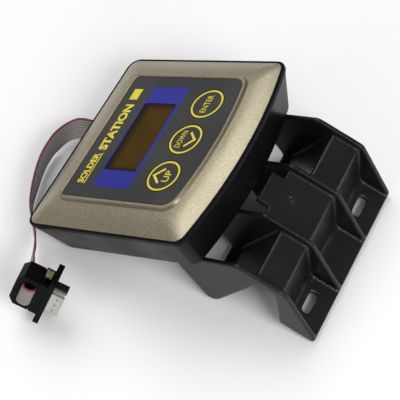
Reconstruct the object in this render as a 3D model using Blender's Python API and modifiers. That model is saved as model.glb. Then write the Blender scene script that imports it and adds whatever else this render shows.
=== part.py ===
"""Control head of a soldering station, lying on a bench with its ribbon lead.

The head is a keypad and display panel in a black case. A ribbed bracket with a slotted flange holds it
in use, and a flat ribbon cable with a nine-way D connector joins it to the power unit.

Units are metres and +Z is up. The head and its bracket are modelled in the head frame, whose origin is
the centre of the middle key on the label, with x to the panel's right, y to its top and z out of the
label. The connector has a frame of its own: x along its flange, y across it, z the mating direction.
"""

import math

import bmesh
import bpy
import numpy as np
from mathutils import Euler, Matrix, Vector

GAP = 0.0003  # between pieces that touch

# ---- panel face: half width, top edge, bottom corners, depth of the bowed bottom edge, corner radii
FACE = dict(w=0.0500, top=0.0663, bottom=-0.0235, bow=0.0060, r_top=0.0045, r_bottom=0.0045)
LABEL = dict(w=0.0358, top=0.0515, bottom=-0.0124, bow=0.0034, r_top=0.0015, r_bottom=0.0060)
FACE_DROP = 0.0045  # from the label down to the face's outer edge
DOME_RISE = 0.0034  # of the face between its edge and the lip
LIP_WIDTH = 0.0018
LIP_HEIGHT = 0.0004  # above the label
LABEL_THICK = 0.0005
PANEL_THICK = 0.0023  # under the label
FACE_EDGE = 0.0010  # side of the face above its skirt
SKIRT_INSET, SKIRT_WALL, SKIRT_END = 0.0010, 0.0020, -0.0090
BEVEL = 0.0003
PANEL_BACK = -LABEL_THICK - GAP - PANEL_THICK

# ---- window and keys
WINDOW_W, WINDOW_H, WINDOW_Y = 0.0390, 0.0187, 0.0265
WINDOW_FLANGE, WINDOW_FLANGE_T = 0.0022, 0.0007
WINDOW_SUNK = 0.0003
GLASS_MARGIN, GLASS_T, FRAME_WALL = 0.0014, 0.0018, 0.0008
KEY_R = 0.0084
KEY_PITCH = 0.02065
KEYS = (("up", -KEY_PITCH), ("down", 0.0), ("enter", KEY_PITCH))
KEY_TRAVEL = 0.0004
KEY_STEM_R, KEY_STEM_END = 0.0025, -0.0050
SWITCH_SIZE, SWITCH_TOP, SWITCH_WELL, PLUNGER_R = 0.0060, -0.0068, 0.0022, 0.00175

# ---- case
RIM_WIDTH, RIM_HEIGHT, RIM_STEP = 0.0010, 0.0019, 0.0005
RIM = {key: size + {"w": 1, "top": 1, "bottom": -1, "bow": 0, "r_top": 1, "r_bottom": 1}[key]
       * (GAP + RIM_WIDTH) for key, size in FACE.items()}
CASE_BACK = dict(w=0.0466, top=0.0620, bottom=-0.0185, bow=0.0055, r_top=0.0050, r_bottom=0.0050)
CASE_BACK_Z = -0.0272
CASE_WALL, CASE_EDGE = 0.0022, 0.0015
CASE_FLOOR = CASE_BACK_Z + CASE_WALL
CASE_SCREWS = ((-0.0405, -0.0125), (0.0405, -0.0125), (-0.0405, 0.0560), (0.0405, 0.0560))
CASE_BOSS_R, CASE_BOSS_TOP, CASE_SEAT = 0.0042, -0.0180, -0.0205
CASE_PILLAR_R, CASE_SCREW_TIP = 0.0030, -0.0120
RIBBON_SLOT_W, RIBBON_SLOT_H, RIBBON_SLOT_X, RIBBON_SLOT_Z = 0.0134, 0.0030, 0.0109, -0.0164

# ---- circuit board, on bosses under the panel
BOARD_Z = -0.0106  # its front face
BOARD_BACK = BOARD_Z - 0.0016
BOARD_W, BOARD_LOW, BOARD_TOP = 0.0350, -0.0150, 0.0590
BOARD_SCREWS = ((-0.0310, -0.0105), (0.0310, -0.0105), (-0.0310, 0.0545), (0.0310, 0.0545))
SCREW_R = 0.0012
SCREW_HEAD_R, SCREW_HEAD_H = 0.0026, 0.0018
SCREW_ENDS = 0.0012  # solid left past the tip of a screw
BOARD_BOSS_R = 0.0030
HEADER_X, HEADER_Y = RIBBON_SLOT_X, 0.0480
HEADER_W, HEADER_H, HEADER_D, HEADER_WALL, HEADER_FLOOR = 0.01015, 0.0044, 0.0060, 0.0010, 0.0012
SOCKET_D = 0.0066

# ---- bracket: its profile is in the head frame's y and z
BRACKET_W = 0.0420  # half width over the end ribs
RIB_THICK = 0.0024
RIB_X = 0.0138  # centre of each inner rib
RIB_CENTRES = (RIB_THICK / 2 - BRACKET_W, -RIB_X, RIB_X, BRACKET_W - RIB_THICK / 2)
SKIN = 0.0025  # thickness of the sheets between the ribs
RIB_PROUD = 0.0004  # of the ribs past the sheets, underneath
BASE_THICK = 0.0038
BASE_BACK = CASE_BACK_Z - GAP - BASE_THICK
BASE_LOW, BASE_TOP = -0.0152, 0.0260
BEND_HIGH = (-0.0345, -0.0303)  # where the ribs' front edge turns down
BEND_LOW = (-0.0506, -0.0478)
BEND_R = 0.0040
LOBE = (-0.0028, -0.0622)  # the sheets' underside, from the lobes to the flange's outer edge
LOBE_R = 0.0043
INNER_CORNER = (-0.0384, -0.0421)
NOTCH = (-0.0450, -0.0490)
LEG_CORNER = (-0.0359, -0.0705)
FLANGE_LENGTH = 0.0170
FLANGE_SLOPE = math.radians(48.2)
FLANGE_END = (LEG_CORNER[0] - FLANGE_LENGTH * math.cos(FLANGE_SLOPE),
              LEG_CORNER[1] - FLANGE_LENGTH * math.sin(FLANGE_SLOPE))
FILLET_R = 0.0040  # between the wall and the flange
LIP_TOP = -0.0555  # height to which the sheet curls up behind the lobes
SLOT_X, SLOT_LENGTH, SLOT_WIDTH = 0.0272, 0.0103, 0.0041
SLOT_IN = 0.0096  # from the flange's outer edge
MIDDLE_TOP_Y = -0.0305  # upper end of the middle bay's sheet
TONGUE_W, TONGUE_LENGTH = 0.0080, 0.0062
DIMPLE_R, DIMPLE_DEPTH, DIMPLE_Y = 0.0016, 0.0006, -0.0372
BRACKET_SCREWS = ((-0.0272, -0.0060), (0.0272, -0.0060), (-0.0272, 0.0180), (0.0272, 0.0180))
BRACKET_BOSS_R, BRACKET_BOSS_TOP = 0.0030, -0.0195

HEAD_Y = 0.0118  # of the head frame, which puts the head's middle over the origin

# ---- ribbon cable: nine conductors on a pitch of 1.27 mm
RIBBON_WIDTH = 0.0114
RIBBON_THICK = 0.0009
# Its two edges, the marked one first, from the socket in the case to the connector's hood.
RIBBON_ROUTE = (
    ((0.0166, 0.0486, 0.0109), (0.0052, 0.0486, 0.0109)),
    ((0.0166, 0.0528, 0.0091), (0.0052, 0.0528, 0.0091)),
    ((0.0166, 0.0577, 0.0087), (0.0052, 0.0577, 0.0087)),
    ((0.0166, 0.0622, 0.0078), (0.0052, 0.0622, 0.0078)),
    ((0.0166, 0.0658, 0.0061), (0.0052, 0.0658, 0.0061)),
    ((0.0161, 0.0700, 0.0072), (0.0049, 0.0700, 0.0070)),
    ((0.0160, 0.0736, 0.0089), (0.0049, 0.0743, 0.0072)),
    ((0.0137, 0.0794, 0.0100), (0.0032, 0.0783, 0.0055)),
    ((0.0090, 0.0828, 0.0106), (0.0006, 0.0811, 0.0032)),
    ((0.0037, 0.0846, 0.0113), (-0.0026, 0.0827, 0.0019)),
    ((-0.0026, 0.0853, 0.0119), (-0.0065, 0.0837, 0.0013)),
    ((-0.0137, 0.0845, 0.0122), (-0.0149, 0.0834, 0.0010)),
    ((-0.0250, 0.0813, 0.0123), (-0.0250, 0.0810, 0.0010)),
    ((-0.0357, 0.0769, 0.0122), (-0.0350, 0.0781, 0.0009)),
    ((-0.0425, 0.0724, 0.0125), (-0.0440, 0.0723, 0.0012)),
    ((-0.0497, 0.0658, 0.0142), (-0.0529, 0.0654, 0.0033)),
    ((-0.0548, 0.0619, 0.0166), (-0.0598, 0.0621, 0.0063)),
    ((-0.0599, 0.0586, 0.0190), (-0.0654, 0.0598, 0.0091)),
    ((-0.0645, 0.0559, 0.0213), (-0.0705, 0.0575, 0.0118)),
    ((-0.0678, 0.0537, 0.0229), (-0.0726, 0.0560, 0.0131)),
    ((-0.0715, 0.0523, 0.0240), (-0.0751, 0.0557, 0.0137)),
    ((-0.0768, 0.0512, 0.0255), (-0.0804, 0.0546, 0.0152)),
)

# ---- connector: half widths and heights of its parts, and depths along the mating direction
PLUG_AT = (-0.0769, 0.0409, 0.01584)  # middle of the flange's front face: the plug stands on its end
PLUG_TURN = math.radians(6.2)
PLUG_DIP = math.radians(20.0)
PLUG_ROLL = math.radians(73.6)
FLANGE_W, FLANGE_H, FLANGE_T = 0.0154, 0.00625, 0.0026
BODY_W, BODY_H, BODY_D = 0.0102, 0.0052, 0.0066
SHELL_W, SHELL_H, SHELL_R, SHELL_WALL = 0.00845, 0.0042, 0.0024, 0.0004
SHELL_OUT, SHELL_IN = 0.0059, -0.0015
INSULATOR_OUT = 0.0009
PIN_PITCH, PIN_ROW, PIN_R, PIN_OUT = 0.00277, 0.00142, 0.0005, 0.0052
HOOD_W, HOOD_LOW, HOOD_TOP = 0.0102, -0.0046, 0.0052
HOOD_FRONT, HOOD_BACK, HOOD_CHAMFER = -BODY_D - GAP, -0.0165, (0.0036, 0.0025)
RIBBON_SLOT = 0.0060  # half width of the hood's two openings for the ribbon
ENTRY_Z = -0.0129  # of the ribbon's way in, through the hood from side to side
CLAMP_Z, CLAMP_LOW = -0.00735, 0.0001  # where the ribbon turns back in against the contacts
LOOP = ((CLAMP_Z, 0.0008), (CLAMP_Z, 0.0048), (-0.0078, 0.0061), (-0.0091, 0.0068),
        (-0.0112, 0.0068), (-0.0125, 0.0061), (ENTRY_Z, 0.0048), (ENTRY_Z, 0.0008))
INSERT_X, INSERT_R, INSERT_D, INSERT_HOLE = 0.0126, 0.0020, 0.0032, 0.0011

# ---- colour, roughness, metallic of each kind of part
SILVER = (0.36, 0.33, 0.26), 0.38, 0.75
LABEL_GREY = (0.050, 0.052, 0.052), 0.45, 0.0
AMBER = (0.045, 0.022, 0.006), 0.08, 0.0
GLASS_DARK = (0.030, 0.032, 0.028), 0.05, 0.0
CASE_BLACK = (0.012, 0.012, 0.013), 0.42, 0.0
BRACKET_BLACK = (0.018, 0.018, 0.016), 0.55, 0.0
BLACK_PLASTIC = (0.015, 0.015, 0.016), 0.45, 0.0
WHITE_PLASTIC = (0.75, 0.74, 0.70), 0.40, 0.0
BOARD_GREEN = (0.012, 0.085, 0.030), 0.40, 0.0
STEEL = (0.55, 0.54, 0.52), 0.30, 1.0
ALUMINIUM = (0.62, 0.62, 0.64), 0.35, 1.0
TIN = (0.66, 0.66, 0.64), 0.30, 1.0
BRASS = (0.46, 0.38, 0.16), 0.35, 1.0
GOLD = (0.75, 0.55, 0.22), 0.25, 1.0
RIBBON_GREY = (0.19, 0.18, 0.16), 0.60, 0.0

for leftover in list(bpy.data.objects):
    bpy.data.objects.remove(leftover)
PARTS = bpy.data.collections.new("soldering_station_head")
CUTTERS = bpy.data.collections.new("cutters")
for group in (PARTS, CUTTERS):
    bpy.context.scene.collection.children.link(group)
CUTTERS.hide_render = True


# ---------------------------------------------------------------- helpers


def material(name, colour, roughness, metallic):
    mat = bpy.data.materials.new(name)
    mat.use_nodes = True
    shader = mat.node_tree.nodes["Principled BSDF"]
    shader.inputs["Base Color"].default_value = (*colour, 1.0)
    shader.inputs["Roughness"].default_value = roughness
    shader.inputs["Metallic"].default_value = metallic
    mat.diffuse_color = (*colour, 1.0)
    return mat


def place(name, bm, frame, collection):
    """A mesh object in the given frame, its faces turned outwards."""
    bmesh.ops.recalc_face_normals(bm, faces=bm.faces)
    mesh = bpy.data.meshes.new(name)
    bm.to_mesh(mesh)
    bm.free()
    mesh.shade_smooth()
    mesh.set_sharp_from_angle(angle=math.radians(35))
    obj = bpy.data.objects.new(name, mesh)
    collection.objects.link(obj)
    obj.parent = frame
    return obj


def node(name, bm, look, frame):
    obj = place(name, bm, frame, PARTS)
    obj.data.materials.append(material(name, *look))
    return obj


def helper(name, bm, frame):
    obj = place(name, bm, frame, CUTTERS)
    obj.hide_render = True
    obj.display_type = "WIRE"
    return obj


def combine(target, other, operation):
    modifier = target.modifiers.new(other.name, "BOOLEAN")
    modifier.operation = operation
    modifier.object = other
    modifier.solver = "EXACT"


def block(bm, x0, x1, y0, y1, z0, z1):
    size = Matrix.Diagonal((x1 - x0, y1 - y0, z1 - z0, 1))
    centre = Matrix.Translation(((x0 + x1) / 2, (y0 + y1) / 2, (z0 + z1) / 2))
    bmesh.ops.create_cube(bm, size=1, matrix=centre @ size)
    return bm


def cylinder(bm, x, y, z0, z1, r, sides=20):
    bmesh.ops.create_cone(
        bm, cap_ends=True, segments=sides, radius1=r, radius2=r, depth=z1 - z0,
        matrix=Matrix.Translation((x, y, (z0 + z1) / 2)),
    )
    return bm


def merge(bm, other):
    """Puts the second bmesh's faces into the first."""
    mesh = bpy.data.meshes.new("merged")
    other.to_mesh(mesh)
    other.free()
    bm.from_mesh(mesh)
    bpy.data.meshes.remove(mesh)


def loft(rings):
    """A closed solid through rings of (outline, z), which all have as many points."""
    bm = bmesh.new()
    rows = [[bm.verts.new((x, y, z)) for x, y in outline] for outline, z in rings]
    for a, b in zip(rows, rows[1:]):
        for i in range(len(a)):
            j = (i + 1) % len(a)
            bm.faces.new((a[i], a[j], b[j], b[i]))
    bm.faces.new(rows[0])
    bm.faces.new(rows[-1])
    return bm


def prism(outline, low, high, along="z"):
    """An outline drawn out from low to high. Along x it is in y and z, and along y in x and z."""
    bm = bmesh.new()
    order = {"x": (2, 0, 1), "y": (0, 2, 1), "z": (0, 1, 2)}[along]

    def turned(a, b, h):
        return [(a, b, h)[i] for i in order]

    base = bm.faces.new([bm.verts.new(turned(a, b, low)) for a, b in outline])
    far = bmesh.ops.extrude_face_region(bm, geom=[base])["geom"]
    move = Vector(turned(0, 0, high - low))
    bmesh.ops.translate(bm, vec=move, verts=[v for v in far if isinstance(v, bmesh.types.BMVert)])
    return bm


def rounded(points, radii, steps=4):
    """A polygon with each corner turned on its own radius, cut short where its sides are short."""
    points = [np.array(p, float) for p in points]
    out = []
    for i, (p, r) in enumerate(zip(points, radii)):
        to_last, to_next = points[i - 1] - p, points[(i + 1) % len(points)] - p
        long = min(np.linalg.norm(to_last), np.linalg.norm(to_next))
        a, b = to_last / np.linalg.norm(to_last), to_next / np.linalg.norm(to_next)
        half = math.acos(np.clip(a @ b, -1, 1)) / 2
        reach = min(r / math.tan(half), 0.48 * long)
        if reach < 1e-6:
            out.append(tuple(p))
            continue
        r = reach * math.tan(half)
        centre = p + (a + b) / np.linalg.norm(a + b) * r / math.sin(half)
        start, end = p + a * reach - centre, p + b * reach - centre
        turn = math.atan2(start[0] * end[1] - start[1] * end[0], start @ end)
        for k in range(steps + 1):
            c, s = math.cos(turn * k / steps), math.sin(turn * k / steps)
            out.append((centre[0] + c * start[0] - s * start[1], centre[1] + s * start[0] + c * start[1]))
    return out


def rectangle(x0, x1, y0, y1, r=0.0, steps=4):
    return rounded([(x0, y0), (x1, y0), (x1, y1), (x0, y1)], [r] * 4, steps)


def offset_path(path, by):
    """The path moved to its right by that much, with its corners kept sharp."""
    path = [np.array(p, float) for p in path]
    ways = [(b - a) / np.linalg.norm(b - a) for a, b in zip(path, path[1:])]
    sides = [np.array((w[1], -w[0])) for w in ways]
    out = [path[0] + sides[0] * by]
    for p, m, n in zip(path[1:], sides, sides[1:]):
        out.append(p + (m + n) / (1 + m @ n) * by)
    out.append(path[-1] + sides[-1] * by)
    return [tuple(p) for p in out]


def panel_outline(w, top, bottom, bow, r_top, r_bottom):
    """The panel's outline: straight top and sides, and a bottom edge that bows out on one arc."""
    slope = 2 * math.atan(bow / w)
    right = [(w - r_top + r_top * math.cos(t), top - r_top + r_top * math.sin(t))
             for t in np.linspace(math.pi / 2, 0, 6)]
    turn = math.pi / 2 - slope
    x_end = w - r_bottom + r_bottom * math.cos(turn)
    y_mid = bottom + r_bottom * math.sin(turn) - (w - x_end) * math.tan(slope)
    right += [(w - r_bottom + r_bottom * math.cos(t), y_mid + r_bottom * math.sin(t))
              for t in np.linspace(0, -turn, 6)]
    big = x_end / math.sin(slope)
    y_end = y_mid - r_bottom * math.sin(turn)
    bowed = [(big * math.sin(t), y_end + big * (math.cos(slope) - math.cos(t)))
             for t in np.linspace(slope, -slope, 15)[1:-1]]
    return right + bowed + [(-x, y) for x, y in reversed(right)]


def grown(shape, by, radius=None):
    """The same panel outline moved out by that much on every side."""
    r = by if radius is None else radius
    return dict(
        w=shape["w"] + by, top=shape["top"] + by, bottom=shape["bottom"] - by, bow=shape["bow"],
        r_top=max(shape["r_top"] + r, 0.0006), r_bottom=max(shape["r_bottom"] + r, 0.0006),
    )


def between(a, b, t):
    return {key: a[key] + (b[key] - a[key]) * t for key in a}


def ring(shape, z):
    return panel_outline(**shape), z


# ---------------------------------------------------------------- front


def front_bezel(frame):
    """The domed plate: a pocket for the label with a lip round it, and a skirt that enters the case."""
    foot = grown(LABEL, LIP_WIDTH + BEVEL)
    foot["bow"] = LABEL["bow"]
    under_lip = -LABEL_THICK - GAP
    rings = [
        ring(grown(LABEL, GAP), under_lip),
        ring(grown(LABEL, GAP), LIP_HEIGHT - BEVEL),
        ring(grown(LABEL, GAP + BEVEL), LIP_HEIGHT),
        ring(grown(LABEL, LIP_WIDTH - BEVEL), LIP_HEIGHT),
        ring(grown(LABEL, LIP_WIDTH), LIP_HEIGHT - BEVEL),
    ]
    for t in (1.0, 0.8, 0.6, 0.4, 0.22, 0.08, 0.0):
        rings.append(ring(between(FACE, foot, t), -FACE_DROP + DOME_RISE * (1 - (1 - t) ** 1.7)))
    rings += [
        ring(FACE, -FACE_DROP - FACE_EDGE),
        ring(grown(FACE, -SKIRT_INSET), -FACE_DROP - FACE_EDGE),
        ring(grown(FACE, -SKIRT_INSET), SKIRT_END),
        ring(grown(FACE, -SKIRT_INSET - SKIRT_WALL), SKIRT_END),
        ring(grown(FACE, -SKIRT_INSET - SKIRT_WALL), -FACE_DROP - SKIRT_WALL),
        ring(between(FACE, foot, 0.62), PANEL_BACK - 0.0009),
        ring(LABEL, PANEL_BACK),
    ]
    bezel = node("front_bezel", loft(rings), SILVER, frame)
    bosses = bmesh.new()
    for x, y in BOARD_SCREWS:
        cylinder(bosses, x, y, BOARD_Z + GAP, PANEL_BACK + 0.0006, BOARD_BOSS_R)
    for x, y in CASE_SCREWS:
        cylinder(bosses, x, y, CASE_BOSS_TOP + GAP, PANEL_BACK, CASE_PILLAR_R)
    combine(bezel, helper("bezel_bosses", bosses, frame), "UNION")
    holes = bmesh.new()
    half_w, half_h = WINDOW_W / 2 + GAP, WINDOW_H / 2 + GAP
    block(holes, -half_w, half_w, WINDOW_Y - half_h, WINDOW_Y + half_h, 2 * PANEL_BACK, PANEL_THICK)
    for _, x in KEYS:
        cylinder(holes, x, 0, under_lip - KEY_TRAVEL - GAP, PANEL_THICK, KEY_R + 2 * GAP, 32)
    for x, y in BOARD_SCREWS:
        cylinder(holes, x, y, 2 * BOARD_Z, PANEL_BACK - SCREW_ENDS, SCREW_R + GAP, 12)
    for x, y in CASE_SCREWS:
        cylinder(holes, x, y, 2 * CASE_BOSS_TOP, CASE_SCREW_TIP + GAP, SCREW_R + GAP, 12)
    combine(bezel, helper("bezel_holes", holes, frame), "DIFFERENCE")
    stems = bmesh.new()
    for _, x in KEYS:
        cylinder(stems, x, 0, 2 * PANEL_BACK, PANEL_THICK, KEY_STEM_R + GAP, 16)
    combine(bezel, helper("bezel_stem_holes", stems, frame), "DIFFERENCE")


def keypad_label(frame):
    """The printed film in the bezel's pocket, cut out for the window and for each key."""
    label = node("keypad_label", prism(panel_outline(**LABEL), -LABEL_THICK, 0), LABEL_GREY, frame)
    holes = bmesh.new()
    half_w, half_h = WINDOW_W / 2 + GAP, WINDOW_H / 2 + GAP
    block(holes, -half_w, half_w, WINDOW_Y - half_h, WINDOW_Y + half_h, -2 * LABEL_THICK, LABEL_THICK)
    for _, x in KEYS:
        cylinder(holes, x, 0, -2 * LABEL_THICK, LABEL_THICK, KEY_R + GAP, 48)
    combine(label, helper("label_holes", holes, frame), "DIFFERENCE")


def key(frame, name, x):
    """A round key with its stem. Its top is flush with the label."""
    disc = cylinder(bmesh.new(), x, 0, -LABEL_THICK, 0, KEY_R, 48)
    cap = node("key_" + name, disc, LABEL_GREY, frame)
    stem = cylinder(bmesh.new(), x, 0, KEY_STEM_END, -LABEL_THICK / 2, KEY_STEM_R, 16)
    combine(cap, helper("key_stem_" + name, stem, frame), "UNION")


def key_switch(frame, name, x):
    """The tact switch under a key: a square body and the plunger that goes down with the key."""
    half = SWITCH_SIZE / 2
    low, high = BOARD_Z + GAP, SWITCH_TOP
    body = block(bmesh.new(), x - half, x + half, -half, half, low, high)
    body = node("switch_body_" + name, body, BLACK_PLASTIC, frame)
    well = cylinder(bmesh.new(), x, 0, high - SWITCH_WELL, high + SWITCH_WELL, PLUNGER_R + GAP, 16)
    combine(body, helper("switch_well_" + name, well, frame), "DIFFERENCE")
    low = high - SWITCH_WELL + KEY_TRAVEL + GAP
    plunger = cylinder(bmesh.new(), x, 0, low, KEY_STEM_END - GAP, PLUNGER_R, 16)
    node("switch_plunger_" + name, plunger, BLACK_PLASTIC, frame)


def display(frame):
    """The window lens, and behind it the glass cell and its backlight in a metal frame."""
    y = WINDOW_Y
    half_w, half_h = WINDOW_W / 2, WINDOW_H / 2
    flange_top = PANEL_BACK - GAP
    lens = block(bmesh.new(), -half_w, half_w, y - half_h, y + half_h,
                 flange_top - WINDOW_FLANGE_T / 2, -WINDOW_SUNK)
    lens = node("display_window", lens, AMBER, frame)
    wide, tall = half_w + WINDOW_FLANGE, half_h + WINDOW_FLANGE
    plate = block(bmesh.new(), -wide, wide, y - tall, y + tall, flange_top - WINDOW_FLANGE_T, flange_top)
    combine(lens, helper("window_flange", plate, frame), "UNION")
    top = flange_top - WINDOW_FLANGE_T - GAP
    wide, tall = half_w + GLASS_MARGIN, half_h + GLASS_MARGIN
    glass = block(bmesh.new(), -wide, wide, y - tall, y + tall, top - GLASS_T, top)
    node("display_glass", glass, GLASS_DARK, frame)
    light = block(bmesh.new(), -wide, wide, y - tall, y + tall, BOARD_Z + 2 * GAP, top - GLASS_T - GAP)
    node("display_backlight", light, WHITE_PLASTIC, frame)
    wide, tall = wide + GAP, tall + GAP
    can = FRAME_WALL
    outer = block(bmesh.new(), -wide - can, wide + can, y - tall - can, y + tall + can, BOARD_Z + GAP, top)
    outer = node("display_frame", outer, STEEL, frame)
    inner = block(bmesh.new(), -wide, wide, y - tall, y + tall, 2 * BOARD_Z, 0)
    combine(outer, helper("frame_hollow", inner, frame), "DIFFERENCE")


# ---------------------------------------------------------------- inside


def circuit_board(frame):
    corners = rectangle(-BOARD_W, BOARD_W, BOARD_LOW, BOARD_TOP, 0.0015)
    board = node("main_board", prism(corners, BOARD_BACK, BOARD_Z), BOARD_GREEN, frame)
    holes = bmesh.new()
    for x, y in BOARD_SCREWS:
        cylinder(holes, x, y, 2 * BOARD_Z, 0, SCREW_R + 0.0004, 12)
    combine(board, helper("board_holes", holes, frame), "DIFFERENCE")


def board_parts(frame):
    """What is soldered to the back of the board."""
    top = BOARD_BACK - GAP
    x, y, half = -0.0090, 0.0070, 0.0060
    chip = block(bmesh.new(), x - half, x + half, y - half, y + half, top - 0.0014, top)
    node("processor_chip", chip, BLACK_PLASTIC, frame)
    x, y = -0.0090, -0.0070
    can = prism(rectangle(x - 0.0054, x + 0.0054, y - 0.0022, y + 0.0022, 0.0021), top - 0.0034, top)
    node("timing_crystal", can, STEEL, frame)
    cap = cylinder(bmesh.new(), 0.0110, -0.0060, top - 0.0080, top, 0.0032, 24)
    node("smoothing_capacitor", cap, ALUMINIUM, frame)
    buzzer = cylinder(bmesh.new(), 0.0140, 0.0120, top - 0.0070, top, 0.0060, 28)
    buzzer = node("buzzer", buzzer, BLACK_PLASTIC, frame)
    port = cylinder(bmesh.new(), 0.0140, 0.0120, top - 0.0080, top - 0.0060, 0.0012, 12)
    combine(buzzer, helper("buzzer_port", port, frame), "DIFFERENCE")


def ribbon_header(frame):
    """The shrouded header on the board, and the socket on the ribbon's end that is pushed into it."""
    x, y, top = HEADER_X, HEADER_Y, BOARD_BACK - GAP
    shroud = block(bmesh.new(), x - HEADER_W, x + HEADER_W, y - HEADER_H, y + HEADER_H, top - HEADER_D, top)
    shroud = node("ribbon_header", shroud, BLACK_PLASTIC, frame)
    w, h = HEADER_W - HEADER_WALL, HEADER_H - HEADER_WALL
    floor = top - HEADER_FLOOR
    hollow = block(bmesh.new(), x - w, x + w, y - h, y + h, 2 * top, floor)
    combine(shroud, helper("header_hollow", hollow, frame), "DIFFERENCE")
    w, h = w - GAP, h - GAP
    socket = block(bmesh.new(), x - w, x + w, y - h, y + h, floor - GAP - SOCKET_D, floor - GAP)
    node("ribbon_socket", socket, BLACK_PLASTIC, frame)


def screw(frame, name, x, y, seat, tip):
    """A pan-head screw put in from the back: its head is under seat, and its shank goes up to tip."""
    head = cylinder(bmesh.new(), x, y, seat - SCREW_HEAD_H, seat, SCREW_HEAD_R, 20)
    head = node(name, head, STEEL, frame)
    shank = cylinder(bmesh.new(), x, y, seat - SCREW_HEAD_H / 2, tip, SCREW_R, 12)
    combine(head, helper(name + "_shank", shank, frame), "UNION")
    cross = bmesh.new()
    arm, wide, deep = SCREW_HEAD_R * 0.6, SCREW_HEAD_R * 0.13, SCREW_HEAD_H * 0.55
    low = seat - SCREW_HEAD_H - deep
    block(cross, x - arm, x + arm, y - wide, y + wide, low, low + 2 * deep)
    combine(head, helper(name + "_slot", cross, frame), "DIFFERENCE")
    cross = block(bmesh.new(), x - wide, x + wide, y - arm, y + arm, low, low + 2 * deep)
    combine(head, helper(name + "_cross", cross, frame), "DIFFERENCE")


def screws(frame):
    for i, (x, y) in enumerate(BOARD_SCREWS, 1):
        screw(frame, f"board_screw_{i}", x, y, BOARD_BACK - GAP, PANEL_BACK - SCREW_ENDS - GAP)
    for i, (x, y) in enumerate(CASE_SCREWS, 1):
        screw(frame, f"case_screw_{i}", x, y, CASE_SEAT - GAP, CASE_SCREW_TIP)
    for i, (x, y) in enumerate(BRACKET_SCREWS, 1):
        screw(frame, f"bracket_screw_{i}", x, y, BASE_BACK - GAP, BRACKET_BOSS_TOP - SCREW_ENDS - GAP)


# ---------------------------------------------------------------- case and bracket


def rear_case(frame):
    """The black shell: a beaded rim round the face, walls that taper to the back, and screw bosses."""
    rings = [
        ring(grown(CASE_BACK, -CASE_WALL), CASE_FLOOR),
        ring(grown(FACE, -SKIRT_INSET - SKIRT_WALL - GAP), SKIRT_END - GAP),
        ring(grown(FACE, -SKIRT_INSET + GAP), SKIRT_END - GAP),
        ring(grown(FACE, -SKIRT_INSET + GAP), -FACE_DROP - FACE_EDGE - GAP),
        ring(grown(FACE, GAP), -FACE_DROP - FACE_EDGE - GAP),
        ring(grown(FACE, GAP), -FACE_DROP - BEVEL),
        ring(grown(FACE, GAP + BEVEL), -FACE_DROP),
        ring(grown(RIM, -BEVEL), -FACE_DROP),
        ring(RIM, -FACE_DROP - BEVEL),
        ring(RIM, -FACE_DROP - RIM_HEIGHT),
        ring(grown(RIM, -RIM_STEP), -FACE_DROP - RIM_HEIGHT - RIM_STEP),
        ring(CASE_BACK, CASE_BACK_Z + CASE_EDGE),
        ring(grown(CASE_BACK, -0.3 * CASE_EDGE), CASE_BACK_Z + 0.3 * CASE_EDGE),
        ring(grown(CASE_BACK, -CASE_EDGE), CASE_BACK_Z),
    ]
    case = node("rear_case", loft(rings), CASE_BLACK, frame)
    bosses = bmesh.new()
    for x, y in CASE_SCREWS:
        cylinder(bosses, x, y, CASE_FLOOR - CASE_WALL / 2, CASE_BOSS_TOP, CASE_BOSS_R, 24)
    for x, y in BRACKET_SCREWS:
        cylinder(bosses, x, y, CASE_FLOOR - CASE_WALL / 2, BRACKET_BOSS_TOP, BRACKET_BOSS_R)
    combine(case, helper("case_bosses", bosses, frame), "UNION")
    holes = bmesh.new()
    for x, y in CASE_SCREWS:
        cylinder(holes, x, y, 2 * CASE_BACK_Z, CASE_SEAT, SCREW_HEAD_R + 2 * GAP, 24)
    for x, y in BRACKET_SCREWS:
        cylinder(holes, x, y, 2 * CASE_BACK_Z, BRACKET_BOSS_TOP - SCREW_ENDS, SCREW_R + GAP, 12)
    x, z = RIBBON_SLOT_X, RIBBON_SLOT_Z
    block(holes, x - RIBBON_SLOT_W / 2, x + RIBBON_SLOT_W / 2, FACE["top"] - 0.0080, FACE["top"] + 0.0050,
          z - RIBBON_SLOT_H / 2, z + RIBBON_SLOT_H / 2)
    combine(case, helper("case_holes", holes, frame), "DIFFERENCE")
    holes = bmesh.new()
    for x, y in CASE_SCREWS:
        cylinder(holes, x, y, 2 * CASE_BACK_Z, 0, SCREW_R + GAP, 12)
    combine(case, helper("case_screw_holes", holes, frame), "DIFFERENCE")


def sheet_profile(path, radii_under, radii_over):
    """A bent sheet in the y-z plane, SKIN thick, on the upper side of its path."""
    over = offset_path(path, SKIN)
    return rounded(list(path) + over[::-1], list(radii_under) + list(radii_over)[::-1])


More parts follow.
